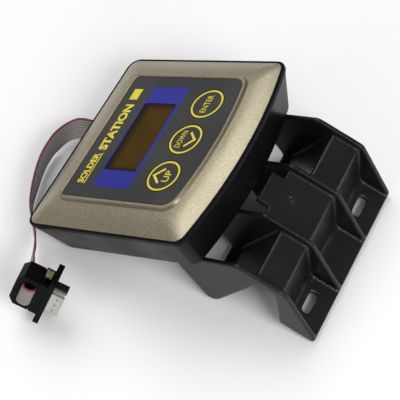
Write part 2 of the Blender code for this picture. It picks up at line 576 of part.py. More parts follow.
def mounting_bracket(frame):
    """One moulding: four ribs from a base plate, bent sheets between them, and a slotted flange."""
    base = rectangle(-BRACKET_W, BRACKET_W, BASE_LOW, BASE_TOP, 0.0025)
    bracket = node("mounting_bracket", prism(base, BASE_BACK, BASE_BACK + BASE_THICK), BRACKET_BLACK, frame)

    under = [(LOBE[0] + 0.0004, LIP_TOP), LOBE, INNER_CORNER, NOTCH, LEG_CORNER, FLANGE_END]
    under_radii = [0, LOBE_R, 0.001, 0.001, 0.0012, 0]
    over_radii = [0, LOBE_R - SKIN, 0.0012, 0.0012, FILLET_R, 0]
    edge = offset_path(under, -RIB_PROUD)
    flange_top = offset_path(under, SKIN + RIB_PROUD)[-1]
    rib = [(LOBE[0] + 0.0040, BASE_BACK + BASE_THICK / 2),
           (BASE_LOW + 0.0006, BASE_BACK + BASE_THICK * 0.7),
           BEND_HIGH, BEND_LOW, flange_top] + edge[:0:-1]
    rib_radii = [0, 0, BEND_R, BEND_R, 0.0006, 0.0004] + [0.0012, 0.001, 0.001, LOBE_R]
    for i, x in enumerate(RIB_CENTRES, 1):
        shape = prism(rounded(rib, rib_radii), x - RIB_THICK / 2, x + RIB_THICK / 2, "x")
        combine(bracket, helper(f"rib_{i}", shape, frame), "UNION")

    inner, outer = RIB_X, BRACKET_W - RIB_THICK / 2
    side = sheet_profile(under, under_radii, over_radii)
    for name, x0, x1 in (("left", -outer, -inner), ("right", inner, outer)):
        combine(bracket, helper("sheet_" + name, prism(side, x0, x1, "x"), frame), "UNION")
    rise = (INNER_CORNER[1] - NOTCH[1]) / (INNER_CORNER[0] - NOTCH[0])
    top = (MIDDLE_TOP_Y, NOTCH[1] + (MIDDLE_TOP_Y - NOTCH[0]) * rise)
    middle = sheet_profile([top] + under[3:], [0] + under_radii[3:], [0] + over_radii[3:])
    combine(bracket, helper("sheet_middle", prism(middle, -inner, inner, "x"), frame), "UNION")
    slope = np.array(top) - np.array(NOTCH)
    slope /= np.linalg.norm(slope)
    ends = [tuple(np.array(top) + slope * d) for d in (TONGUE_LENGTH, -TONGUE_LENGTH)]
    tongue = sheet_profile(ends, (0, 0), (0, 0))
    combine(bracket, helper("tongue", prism(tongue, -TONGUE_W, TONGUE_W, "x"), frame), "UNION")

    cuts = bmesh.new()
    along = np.array((math.cos(FLANGE_SLOPE), math.sin(FLANGE_SLOPE)))
    centre = np.array(FLANGE_END) + along * SLOT_IN
    turn = Matrix.Translation((0, *centre)) @ Matrix.Rotation(FLANGE_SLOPE, 4, "X")
    for x in (-SLOT_X, SLOT_X):
        half, end = SLOT_LENGTH / 2, SLOT_WIDTH / 2
        slot = prism(rectangle(x - half, x + half, -end, end, end * 0.6), -0.010, 0.010)
        slot.transform(turn)
        merge(cuts, slot)
    for x, y in BRACKET_SCREWS:
        cylinder(cuts, x, y, BASE_BACK - BASE_THICK, 0, SCREW_R + 0.0004, 12)
    combine(bracket, helper("bracket_cuts", cuts, frame), "DIFFERENCE")
    dimple_z = offset_path([top, NOTCH], SKIN)
    lift = (DIMPLE_Y - dimple_z[0][0]) * rise + dimple_z[0][1]
    turn = Matrix.Translation((0, DIMPLE_Y, lift)) @ Matrix.Rotation(math.atan(rise), 4, "X")
    dimple = cylinder(bmesh.new(), 0, 0, -DIMPLE_DEPTH, DIMPLE_DEPTH, DIMPLE_R, 16)
    dimple.transform(turn)
    combine(bracket, helper("dimple", dimple, frame), "DIFFERENCE")


# ---------------------------------------------------------------- ribbon and connector


def smooth(points, steps):
    """A Catmull-Rom curve through the points, with that many steps between each pair."""
    points = [np.array(p, float) for p in points]
    ends = [2 * points[0] - points[1]] + points + [2 * points[-1] - points[-2]]
    out = []
    for a, b, c, d in zip(ends, ends[1:], ends[2:], ends[3:]):
        for t in np.arange(steps) / steps:
            out.append(0.5 * (2 * b + (c - a) * t + (2 * a - 5 * b + 4 * c - d) * t**2
                              + (3 * b - a - 3 * c + d) * t**3))
    return out + [points[-1]]


def strip(name, edge, other, frame):
    """A flat cable between two edges, as thick as the ribbon."""
    bm = bmesh.new()
    rows = [(bm.verts.new(a), bm.verts.new(b)) for a, b in zip(edge, other)]
    for (a, b), (c, d) in zip(rows, rows[1:]):
        bm.faces.new((a, b, d, c))
    cable = node(name, bm, RIBBON_GREY, frame)
    modifier = cable.modifiers.new("thickness", "SOLIDIFY")
    modifier.thickness = RIBBON_THICK
    modifier.offset = 0
    modifier.use_even_offset = True
    return cable


def d_outline(w, h, r):
    """The D of the connector, whose sides lean in by 10 degrees towards the bottom."""
    low = w - 2 * h * math.tan(math.radians(10))
    return rounded([(w, h), (-w, h), (-low, -h), (low, -h)], [r] * 4, 5)


def connector(frame):
    corners = rectangle(-FLANGE_W, FLANGE_W, -FLANGE_H, FLANGE_H, 0.0012, 3)
    body = node("connector_body", prism(corners, -FLANGE_T, 0), BLACK_PLASTIC, frame)
    rear = block(bmesh.new(), -BODY_W, BODY_W, -BODY_H, BODY_H, -BODY_D, -FLANGE_T / 2)
    combine(body, helper("connector_rear", rear, frame), "UNION")
    opening = d_outline(SHELL_W + GAP, SHELL_H + GAP, SHELL_R + GAP)
    opening = prism(opening, SHELL_IN - GAP, FLANGE_T)
    for x in (-INSERT_X, INSERT_X):
        cylinder(opening, x, 0, -2 * FLANGE_T, FLANGE_T, INSERT_HOLE + GAP, 16)
    combine(body, helper("connector_openings", opening, frame), "DIFFERENCE")

    wall = prism(d_outline(SHELL_W, SHELL_H, SHELL_R), SHELL_IN, SHELL_OUT)
    shell = node("connector_shell", wall, TIN, frame)
    w, h, r = SHELL_W - SHELL_WALL, SHELL_H - SHELL_WALL, SHELL_R - SHELL_WALL
    inside = prism(d_outline(w, h, r), 2 * SHELL_IN, 2 * SHELL_OUT)
    combine(shell, helper("shell_inside", inside, frame), "DIFFERENCE")

    block_out = d_outline(w - GAP, h - GAP, r - GAP)
    insulator = node("connector_insulator", prism(block_out, SHELL_IN, INSULATOR_OUT), BLACK_PLASTIC, frame)
    places = [((i - 2) * PIN_PITCH, PIN_ROW) for i in range(5)]
    places += [((i - 1.5) * PIN_PITCH, -PIN_ROW) for i in range(4)]
    wells = bmesh.new()
    for i, (x, y) in enumerate(places, 1):
        cylinder(wells, x, y, SHELL_IN + GAP, 2 * INSULATOR_OUT, PIN_R + GAP, 12)
        pin = cylinder(bmesh.new(), x, y, SHELL_IN + 2 * GAP, PIN_OUT, PIN_R, 12)
        node(f"contact_pin_{i}", pin, GOLD, frame)
    combine(insulator, helper("pin_wells", wells, frame), "DIFFERENCE")

    for i, x in enumerate((-INSERT_X, INSERT_X), 1):
        insert = cylinder(bmesh.new(), x, 0, -FLANGE_T - GAP - INSERT_D, -FLANGE_T - GAP, INSERT_R, 20)
        insert = node(f"threaded_insert_{i}", insert, BRASS, frame)
        thread = cylinder(bmesh.new(), x, 0, -2 * FLANGE_T - INSERT_D, 0, INSERT_HOLE, 16)
        combine(insert, helper(f"insert_thread_{i}", thread, frame), "DIFFERENCE")

    in_x, in_z = HOOD_CHAMFER
    half = [(HOOD_W, HOOD_FRONT), (HOOD_W, HOOD_BACK + in_z), (HOOD_W - in_x, HOOD_BACK)]
    corners = half + [(-x, z) for x, z in reversed(half)]
    hood = node("connector_hood", prism(corners, HOOD_LOW, HOOD_TOP, "y"), BLACK_PLASTIC, frame)
    slack = RIBBON_THICK / 2 + GAP
    openings = block(bmesh.new(), -RIBBON_SLOT, RIBBON_SLOT, 2 * HOOD_LOW, 2 * HOOD_TOP,
                     ENTRY_Z - slack, ENTRY_Z + slack)
    block(openings, -RIBBON_SLOT, RIBBON_SLOT, CLAMP_LOW, 2 * HOOD_TOP, CLAMP_Z - slack, 0)
    combine(hood, helper("hood_openings", openings, frame), "DIFFERENCE")

    loop = [(y, z) for z, y in LOOP]
    edges = [smooth([(x, y, z) for y, z in loop], 3) for x in (RIBBON_WIDTH / 2, -RIBBON_WIDTH / 2)]
    strip("ribbon_loop", *edges, frame)


# ---------------------------------------------------------------- assembly


def empty(name, location, rotation):
    obj = bpy.data.objects.new(name, None)
    obj.empty_display_size = 0.02
    PARTS.objects.link(obj)
    obj.location = location
    obj.rotation_euler = rotation
    return obj


def resting_place():
    """The head's tilt and height as it lies on the case's back edge and on the flange's outer edge."""
    flange = offset_path([LEG_CORNER, FLANGE_END], -RIB_PROUD)[-1]
    top = CASE_BACK["top"]
    edge = [(top - a * CASE_EDGE, CASE_BACK_Z + b * CASE_EDGE) for a, b in ((0, 1), (0.3, 0.3), (1, 0))]
    tilt = min(math.atan2(z - flange[1], y - flange[0]) for y, z in edge)
    height = flange[0] * math.sin(tilt) - flange[1] * math.cos(tilt)
    return tilt, height


tilt, height = resting_place()
head = empty("head_frame", (0, HEAD_Y, height), (-tilt, 0, 0))
front_bezel(head)
keypad_label(head)
display(head)
for key_name, key_x in KEYS:
    key(head, key_name, key_x)
    key_switch(head, key_name, key_x)
circuit_board(head)
board_parts(head)
ribbon_header(head)
rear_case(head)
mounting_bracket(head)
screws(head)
strip("ribbon_cable", *(smooth(side, 3) for side in zip(*RIBBON_ROUTE)), None)
facing = Euler((math.pi / 2 + PLUG_DIP, 0, PLUG_TURN)).to_matrix() @ Matrix.Rotation(PLUG_ROLL, 3, "Z")
connector(empty("plug_frame", PLUG_AT, facing.to_euler()))
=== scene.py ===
"""Control head of a soldering station: keypad and display in a black case, on a slotted bracket, with a
ribbon lead that ends in a nine-way D plug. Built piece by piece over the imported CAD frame."""

import math

import bmesh
import bpy
import numpy as np
from mathutils import Matrix, Vector


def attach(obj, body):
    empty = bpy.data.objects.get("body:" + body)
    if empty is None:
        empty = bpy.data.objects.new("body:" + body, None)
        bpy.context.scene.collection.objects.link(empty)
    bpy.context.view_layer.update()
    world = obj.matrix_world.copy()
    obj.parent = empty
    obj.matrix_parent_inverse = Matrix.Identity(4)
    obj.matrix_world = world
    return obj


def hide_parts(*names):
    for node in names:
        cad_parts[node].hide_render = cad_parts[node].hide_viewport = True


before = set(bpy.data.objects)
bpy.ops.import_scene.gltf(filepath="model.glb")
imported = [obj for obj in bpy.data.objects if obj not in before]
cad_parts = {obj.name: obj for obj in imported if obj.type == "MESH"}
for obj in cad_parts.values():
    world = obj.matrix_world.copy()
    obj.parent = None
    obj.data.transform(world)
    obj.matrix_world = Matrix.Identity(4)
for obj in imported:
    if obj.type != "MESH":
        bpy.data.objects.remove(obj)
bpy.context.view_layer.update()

# ==== Bench, light and camera
# A pale seamless table under three large soft lights: the key from the flange's side, a weak fill from
# the plug's side, and a broad one above the panel's top. A long lens looks down from the UP key's side.

table = bpy.data.meshes.new("bench")
reach = np.array([(-1, -1), (1, -1), (1, 1), (-1, 1)]) * 3.0
table.from_pydata([(x, y, -0.0004) for x, y in reach], [], [(0, 1, 2, 3)])
bench = bpy.data.objects.new("bench", table)
bpy.context.scene.collection.objects.link(bench)
bench_paint = bpy.data.materials.new("bench_white")
bench_paint.use_nodes = True
bench_paint.node_tree.nodes["Principled BSDF"].inputs["Base Color"].default_value = (0.93, 0.93, 0.93, 1)
bench_paint.node_tree.nodes["Principled BSDF"].inputs["Roughness"].default_value = 0.9
table.materials.append(bench_paint)

room = bpy.data.worlds.new("studio")
bpy.context.scene.world = room
room.use_nodes = True
room.node_tree.nodes["Background"].inputs["Color"].default_value = (1.0, 1.0, 1.0, 1)
room.node_tree.nodes["Background"].inputs["Strength"].default_value = 0.26


LIT_POINT = (0, 0, 0.03)


def softbox(name, centre, size, power):
    """A square area light at centre, turned so that it faces the head."""
    lamp = bpy.data.lights.new(name, "AREA")
    lamp.size, lamp.energy = size, power
    obj = bpy.data.objects.new(name, lamp)
    bpy.context.scene.collection.objects.link(obj)
    obj.location = centre
    obj.rotation_euler = (Vector(LIT_POINT) - Vector(centre)).to_track_quat("-Z", "Y").to_euler()


softbox("key_light", (-0.35, -0.85, 0.75), 0.6, 9)
softbox("fill_light", (-0.75, 0.35, 0.6), 0.6, 1.6)
softbox("top_light", (0.34, 0.50, 0.95), 0.85, 6.5)

lens = bpy.data.cameras.new("camera")
lens.lens, lens.sensor_width = 118.8, 36.0
camera = bpy.data.objects.new("camera", lens)
bpy.context.scene.collection.objects.link(camera)
right, up, ahead = (0.45197, -0.89043, -0.05356), (0.7737, 0.36142, 0.52034), (0.44397, 0.27661, -0.85228)
camera.matrix_world = Matrix.Translation((-0.27117, -0.16128, 0.52516)) @ Matrix(
    (right, up, tuple(-a for a in ahead))
).transposed().to_4x4()
lens.clip_start, lens.clip_end = 0.02, 20.0
bpy.context.scene.camera = camera
bpy.context.scene.view_settings.view_transform = "Standard"


# ==== Ribbon lead
# Nine stranded conductors in grey PVC, moulded side by side on a 1.27 mm pitch with thin webs between,
# the first one dyed red. It comes from the socket on the board, out of the slot in the case's top wall,
# turns on edge and runs to the plug, whose hood clamps it.

RIBBON_ROUTE = (
    ((0.0166, 0.0486, 0.0109), (0.0052, 0.0486, 0.0109)),
    ((0.0166, 0.0528, 0.0091), (0.0052, 0.0528, 0.0091)),
    ((0.0166, 0.0577, 0.0087), (0.0052, 0.0577, 0.0087)),
    ((0.0166, 0.0622, 0.0078), (0.0052, 0.0622, 0.0078)),
    ((0.0166, 0.0658, 0.0061), (0.0052, 0.0658, 0.0061)),
    ((0.0161, 0.0700, 0.0072), (0.0049, 0.0700, 0.0070)),
    ((0.0160, 0.0736, 0.0089), (0.0049, 0.0743, 0.0072)),
    ((0.0137, 0.0794, 0.0100), (0.0032, 0.0783, 0.0055)),
    ((0.0090, 0.0828, 0.0106), (0.0006, 0.0811, 0.0032)),
    ((0.0037, 0.0846, 0.0113), (-0.0026, 0.0827, 0.0019)),
    ((-0.0026, 0.0853, 0.0119), (-0.0065, 0.0837, 0.0013)),
    ((-0.0137, 0.0845, 0.0122), (-0.0149, 0.0834, 0.0010)),
    ((-0.0250, 0.0813, 0.0123), (-0.0250, 0.0810, 0.0010)),
    ((-0.0357, 0.0769, 0.0122), (-0.0350, 0.0781, 0.0009)),
    ((-0.0425, 0.0724, 0.0125), (-0.0440, 0.0723, 0.0012)),
    ((-0.0497, 0.0658, 0.0142), (-0.0529, 0.0654, 0.0033)),
    ((-0.0548, 0.0619, 0.0166), (-0.0598, 0.0621, 0.0063)),
    ((-0.0599, 0.0586, 0.0190), (-0.0654, 0.0598, 0.0091)),
    ((-0.0645, 0.0559, 0.0213), (-0.0705, 0.0575, 0.0118)),
    ((-0.0678, 0.0537, 0.0229), (-0.0726, 0.0560, 0.0131)),
    ((-0.0715, 0.0523, 0.0240), (-0.0751, 0.0557, 0.0137)),
    ((-0.0768, 0.0512, 0.0255), (-0.0804, 0.0546, 0.0152)),
)
RIBBON_THICK, CONDUCTORS, WEB = 0.0009, 9, 0.00036


class Field:
    """A value that changes over a surface. Arithmetic on it adds Math nodes to its material."""

    def __init__(self, finish, socket):
        self.finish, self.socket = finish, socket

    def math(self, operation, *others, swap=False):
        values = [self, *others][::-1] if swap else [self, *others]
        return self.finish.add("ShaderNodeMath", {"operation": operation}, dict(enumerate(values)))

    def __add__(self, other):
        return self.math("ADD", other)

    __radd__ = __add__

    def __sub__(self, other):
        return self.math("SUBTRACT", other)

    def __rsub__(self, other):
        return self.math("SUBTRACT", other, swap=True)

    def __mul__(self, other):
        return self.math("MULTIPLY", other)

    __rmul__ = __mul__

    def __truediv__(self, other):
        return self.math("DIVIDE", other)

    def __pow__(self, other):
        return self.math("POWER", other)

    def __abs__(self):
        return self.math("ABSOLUTE")

    def __lt__(self, other):
        return self.math("LESS_THAN", other)

    def __gt__(self, other):
        return self.math("GREATER_THAN", other)


class Finish:
    """A material: one Principled shader, and the nodes that feed it."""

    def __init__(self, name, colour, roughness, metallic=0.0, **fixed):
        self.material = bpy.data.materials.new(name)
        self.material.use_nodes = True
        self.tree = self.material.node_tree
        self.shader = self.tree.nodes["Principled BSDF"]
        self.set(Base_Color=(*colour, 1.0), Roughness=roughness, Metallic=metallic, **fixed)

    def feed(self, socket, value):
        if isinstance(value, Field):
            self.tree.links.new(value.socket, socket)
        else:
            socket.default_value = value

    def set(self, **sockets):
        for name, value in sockets.items():
            self.feed(self.shader.inputs[name.replace("_", " ")], value)

    def add(self, kind, settings=None, sockets=None, out=0):
        node = self.tree.nodes.new(kind)
        for name, value in (settings or {}).items():
            setattr(node, name, value)
        for name, value in (sockets or {}).items():
            self.feed(node.inputs[name], value)
        return Field(self, node.outputs[out])

    def place(self, turn=(0, 0, 0), shift=(0, 0, 0), scale=(1, 1, 1)):
        """Object coordinates, scaled, turned and shifted by a Mapping node."""
        at = self.add("ShaderNodeTexCoord", out="Object")
        sockets = {"Vector": at, "Location": shift, "Rotation": turn, "Scale": scale}
        return self.add("ShaderNodeMapping", None, sockets)

    def split(self, vector):
        node = self.add("ShaderNodeSeparateXYZ", None, {"Vector": vector}).socket.node
        return [Field(self, node.outputs[axis]) for axis in "XYZ"]

    def noise(self, scale, detail=3.0, vector=None, roughness=0.5):
        vector = vector or self.add("ShaderNodeTexCoord", out="Object")
        sockets = {"Vector": vector, "Scale": scale, "Detail": detail, "Roughness": roughness}
        return self.add("ShaderNodeTexNoise", None, sockets)

    def range(self, value, low, high, to_low=0.0, to_high=1.0):
        """Value, carried smoothly from between low and high to between to_low and to_high."""
        settings = {"interpolation_type": "SMOOTHSTEP", "clamp": True}
        sockets = {"Value": value, "From Min": low, "From Max": high, "To Min": to_low, "To Max": to_high}
        return self.add("ShaderNodeMapRange", settings, sockets)

    def mix(self, factor, a, b):
        """Colour a where factor is 0, and b where it is 1."""
        a, b = (c if isinstance(c, Field) else (*c, 1.0) for c in (a, b))
        return self.add("ShaderNodeMix", {"data_type": "RGBA"}, {0: factor, 6: a, 7: b}, out=2)

    def bump(self, height, distance, strength=1.0):
        sockets = {"Height": height, "Distance": distance, "Strength": strength}
        self.set(Normal=self.add("ShaderNodeBump", None, sockets))


def piece(name, points, faces, finish, slot, smooth_to=40.0, body="head", nodes=()):
    """Puts arrays of points and faces into a mesh that rides on a body and stands for CAD nodes."""
    mesh = bpy.data.meshes.new(name)
    mesh.from_pydata(np.asarray(points, float).reshape(-1, 3).tolist(), [], [tuple(f) for f in faces])
    mesh.validate()
    mesh.shade_smooth()
    mesh.set_sharp_from_angle(angle=math.radians(smooth_to))
    mesh.materials.append(finish.material)
    obj = bpy.data.objects.new(name, mesh)
    bpy.context.scene.collection.objects.link(obj)
    if nodes:
        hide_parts(*nodes)
    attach(obj, body)
    return obj


def sheet_faces(rows, columns, round_rows=False, round_columns=True, start=0):
    """The quads of a grid of points, closed round on itself along either way if asked."""
    i, j = np.meshgrid(np.arange(rows - (not round_rows)), np.arange(columns - (not round_columns)), indexing="ij")
    k, m = (i + 1) % rows, (j + 1) % columns
    quads = np.stack([i * columns + j, i * columns + m, k * columns + m, k * columns + j], -1)
    return (quads.reshape(-1, 4) + start).tolist()


def curve_through(points, steps):
    """Catmull-Rom: between two points each coordinate is the cubic whose slope at a point is half the
    step from the point before it to the point after it."""
    p = np.asarray(points, float)
    p = np.vstack([2 * p[0] - p[1], p, 2 * p[-1] - p[-2]])
    a, b, c, d = (p[k:len(p) - 3 + k, None] for k in range(4))
    t = (np.arange(steps) / steps)[None, :, None]
    cubic = 0.5 * (2 * b + (c - a) * t + (2 * a - 5 * b + 4 * c - d) * t**2 + (3 * b - a - 3 * c + d) * t**3)
    return np.vstack([cubic.reshape(-1, p.shape[1]), p[-2]])


def ribbon(name, marked, other, finish, nodes):
    """The lead as a surface: across it, thickness follows nine circles in a row with a web between, and
    along it that section is carried on the two edge curves."""
    across = np.linspace(0, 1, CONDUCTORS * 8 + 1)
    within = (across * CONDUCTORS % 1) * 2 - 1
    half = np.maximum(RIBBON_THICK / 2 * np.sqrt(np.clip(1 - within**2, 0, 1)), WEB / 2)
    half[[0, -1]] = 0.00004
    middle = (marked + other) / 2
    along = np.gradient(middle, axis=0)
    face = np.cross(along, other - marked)
    face /= np.linalg.norm(face, axis=1, keepdims=True)
    u = np.concatenate([across, across[::-1]])
    h = np.concatenate([half, -half[::-1]])
    points = marked[:, None] + (other - marked)[:, None] * u[None, :, None] + face[:, None] * h[None, :, None]
    rows, columns = len(marked), len(u)
    faces = sheet_faces(rows, columns)
    faces += [list(range(columns))[::-1], [(rows - 1) * columns + j for j in range(columns)]]
    obj = piece(name, points, faces, finish, "ribbon_insulation", 50, nodes=nodes)
    travelled = np.concatenate([[0], np.cumsum(np.linalg.norm(np.diff(middle, axis=0), axis=1))])
    for title, values in (("across", np.tile(u, rows)), ("along", np.repeat(travelled, columns))):
        layer = obj.data.attributes.new(title, "FLOAT", "POINT")
        layer.data.foreach_set("value", values.astype(np.float32))
    return obj, middle


def ribbon_pvc():
    """Grey PVC, its first conductor dusky red, with a painted highlight along the crown of each conductor and
    painted shade in the webs between them.
    """
    pvc = Finish("grey_ribbon_pvc", (0.20, 0.19, 0.17), 0.5)
    across = pvc.add("ShaderNodeAttribute", {"attribute_name": "across"}, out="Fac")
    along = pvc.add("ShaderNodeAttribute", {"attribute_name": "along"}, out="Fac")
    lanes = abs((across * CONDUCTORS).math("FRACT") - 0.5) * 2
    # Painted light: each conductor's colour is lit up towards its crown and shaded down towards the webs between
    # conductors, on the grey and on the red.
    painted_crown_light = pvc.range(lanes, 0.95, 0.2)
    at = pvc.add("ShaderNodeCombineXYZ", None, {"X": across * 12.0, "Y": along * 90.0, "Z": 0.0})
    cloud = pvc.noise(1.0, 3.0, at)
    grey = pvc.mix(painted_crown_light, (0.15, 0.143, 0.135), (0.275, 0.262, 0.247))
    grey = pvc.mix(pvc.range(cloud, 0.35, 0.7, 0.0, 0.35), grey, (0.30, 0.29, 0.27))
    red = pvc.mix(painted_crown_light, (0.14, 0.020, 0.035), (0.26, 0.050, 0.085))
    pvc.set(Base_Color=pvc.mix(across < 1 / CONDUCTORS, grey, red))
    pvc.set(Roughness=pvc.range(cloud, 0.3, 0.7, 0.42, 0.6))
    pvc.bump(pvc.noise(1400.0, 2.0), 0.00002, 0.3)
    return pvc


grey_pvc = ribbon_pvc()
marked, other = (curve_through([pair[side] for pair in RIBBON_ROUTE], 6) for side in (0, 1))
lead, lead_line = ribbon("ribbon_lead", marked, other, grey_pvc, ["ribbon_cable"])


# ==== Plug: hood and the loop it clamps
# A black moulded cover snaps on behind the plug. The ribbon runs through a slot in it from side to side,
# and turns back over it in a short arch, down on to the contacts. The plug stands on the flange's end.

PLUG_AT = np.array((-0.0769, 0.0409, 0.01584))
PLUG_TURN, PLUG_DIP, PLUG_ROLL = math.radians(6.2), math.radians(20.0), math.radians(73.6)
plug_turned = Matrix.Rotation(PLUG_TURN, 3, "Z") @ Matrix.Rotation(math.pi / 2 + PLUG_DIP, 3, "X")
PLUG_AXES = np.array(plug_turned @ Matrix.Rotation(PLUG_ROLL, 3, "Z"))


def on_plug(points):
    """From the plug's own axes (along the flange, across it, mating way) to the frame's."""
    return np.asarray(points, float) @ PLUG_AXES.T + PLUG_AT


LOOP = ((0.0008, -0.00735), (0.0048, -0.00735), (0.0061, -0.0078), (0.0068, -0.0091),
        (0.0068, -0.0112), (0.0061, -0.0125), (0.0048, -0.0129), (0.0008, -0.0129))
arch = curve_through(LOOP, 6)
loop_edges = [on_plug(np.column_stack([np.full(len(arch), x), arch])) for x in (0.0057, -0.0057)]
ribbon("clamped_loop", *loop_edges, grey_pvc, ["ribbon_loop"])


def rounded_copy(name, node, finish, width, angle=30.0, segments=2, body="head"):
    """A CAD node's own mesh, its loose triangles merged, its flat faces made whole, its edges rounded."""
    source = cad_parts[node].data
    bm = bmesh.new()
    bm.from_mesh(source)
    bmesh.ops.remove_doubles(bm, verts=bm.verts, dist=2e-6)
    bmesh.ops.dissolve_degenerate(bm, edges=bm.edges, dist=2e-6)
    bmesh.ops.dissolve_limit(bm, angle_limit=math.radians(0.6), verts=bm.verts, edges=bm.edges,
                             use_dissolve_boundaries=False)
    mesh = bpy.data.meshes.new(name)
    bm.to_mesh(mesh)
    bm.free()
    mesh.shade_smooth()
    mesh.set_sharp_from_angle(angle=math.radians(60.0))
    mesh.materials.clear()
    mesh.materials.append(finish.material)
    obj = bpy.data.objects.new(name, mesh)
    bpy.context.scene.collection.objects.link(obj)
    if width:
        edge = obj.modifiers.new("edge_radius", "BEVEL")
        edge.width, edge.segments, edge.limit_method = width, segments, "ANGLE"
        edge.angle_limit = math.radians(angle)
        edge.use_clamp_overlap, edge.miter_outer = True, "MITER_ARC"
    weigh = obj.modifiers.new("flat_faces_stay_flat", "WEIGHTED_NORMAL")
    weigh.keep_sharp, weigh.weight, weigh.mode = True, 90, "FACE_AREA"
    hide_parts(node)
    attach(obj, body)
    return obj


def moulded_plastic(name, colour, roughness, grain, depth, wear=0.02, shine=0.3):
    """Black moulding: a fine spark-eroded texture, faint cloudy gloss, and a few paler rubbed patches."""
    plastic = Finish(name, colour, roughness, Specular_IOR_Level=shine)
    cloud = plastic.noise(45.0, 4.0)
    rubbed = plastic.range(plastic.noise(16.0, 5.0, roughness=0.65), 0.55, 0.75)
    pale = tuple(c + wear for c in colour)
    plastic.set(Base_Color=plastic.mix(rubbed, colour, pale))
    plastic.set(Roughness=plastic.range(cloud, 0.3, 0.7, roughness - 0.07, roughness + 0.07))
    pits = plastic.add("ShaderNodeTexVoronoi", {"feature": "SMOOTH_F1"},
                       {"Vector": plastic.add("ShaderNodeTexCoord", out="Object"), "Scale": grain})
    plastic.bump(pits * 0.6 + plastic.noise(grain * 0.8, 3.0) * 0.8, depth, 0.5)
    return plastic


plug_plastic = moulded_plastic("plug_black_plastic", (0.0028, 0.0028, 0.0032), 0.30, 2600.0, 0.00003,
                               wear=0.003, shine=0.05)
rounded_copy("plug_hood", "connector_hood", plug_plastic, 0.0003)


def rounded_slab(half_w, low, top, z0, z1, r, steps=6):
    """A rounded rectangle, a quarter circle at each corner, as a closed prism from z0 to z1."""
    a = np.radians(np.arange(4)[:, None] * 90 + np.linspace(0, 90, steps)[None])
    x = np.array((1, -1, -1, 1))[:, None] * (half_w - r) + r * np.cos(a)
    y = np.array((1, 1, -1, -1))[:, None] * ((top - low) / 2 - r) + (top + low) / 2 + r * np.sin(a)
    flat = np.column_stack([x.ravel(), y.ravel()])
    points = np.concatenate([np.column_stack([flat, np.full(len(flat), z)]) for z in (z0, z1)])
    count = len(flat)
    return points, sheet_faces(2, count) + [list(range(count))[::-1], list(range(count, 2 * count))]


# The cover's rim seats on the body, and closes the joint between them.
seat, seat_faces = rounded_slab(half_w=0.0099, low=-0.0043, top=0.0049, z0=-0.0070, z1=-0.0065, r=0.0004)
piece("hood_clip_rim", on_plug(seat), seat_faces, plug_plastic, "connector_plastic", 30)

# ==== Plug: body and insulator
# The body is one moulding with a mounting flange. The insulator inside the shell carries the contacts.

rounded_copy("plug_body", "connector_body", plug_plastic, 0.0003)
rounded_copy("plug_insulator", "connector_insulator", plug_plastic, 0.00012)

# ==== Plug: shell, contacts and inserts
# The shell is drawn steel, tinned, with three dimples pressed into each long side. The nine contacts
# are turned, round-nosed and gold flashed. The two inserts are knurled brass.

SHELL_W, SHELL_H, SHELL_R, SHELL_WALL = 0.00845, 0.0042, 0.0024, 0.0004
SHELL_IN, SHELL_OUT = -0.0015, 0.0059
DIMPLE_PITCH, DIMPLE_AT, DIMPLE_DEEP, DIMPLE_LONG, DIMPLE_TALL = 0.0041, 0.0030, 0.00055, 0.00065, 0.00055


def d_ring(w, h, r, count=160):
    """The connector's D: four tangent arcs joined by straight sides that lean in by 10 degrees, sampled at
    equal steps round it."""
    low = w - 2 * h * math.tan(math.radians(10))
    corners = np.array([(w, h), (-w, h), (-low, -h), (low, -h)])
    back, ahead = np.roll(corners, 1, 0) - corners, np.roll(corners, -1, 0) - corners
    back /= np.linalg.norm(back, axis=1, keepdims=True)
    ahead /= np.linalg.norm(ahead, axis=1, keepdims=True)
    half = np.arccos((back * ahead).sum(1)) / 2
    bisector = (back + ahead) / np.linalg.norm(back + ahead, axis=1, keepdims=True)
    centre = corners + bisector * (r / np.sin(half))[:, None]
    first = corners + back * (r / np.tan(half))[:, None] - centre
    sweep = (math.pi - 2 * half)[:, None] * np.linspace(0, 1, 12)
    c, s = np.cos(sweep), np.sin(sweep)
    arcs = np.stack([c * first[:, :1] - s * first[:, 1:], s * first[:, :1] + c * first[:, 1:]], -1)
    ring = (centre[:, None] + arcs).reshape(-1, 2)
    ring = np.vstack([ring, ring[:1]])
    far = np.concatenate([[0], np.cumsum(np.linalg.norm(np.diff(ring, axis=0), axis=1))])
    at = np.linspace(0, far[-1], count, endpoint=False)
    return np.column_stack([np.interp(at, far, ring[:, k]) for k in (0, 1)])


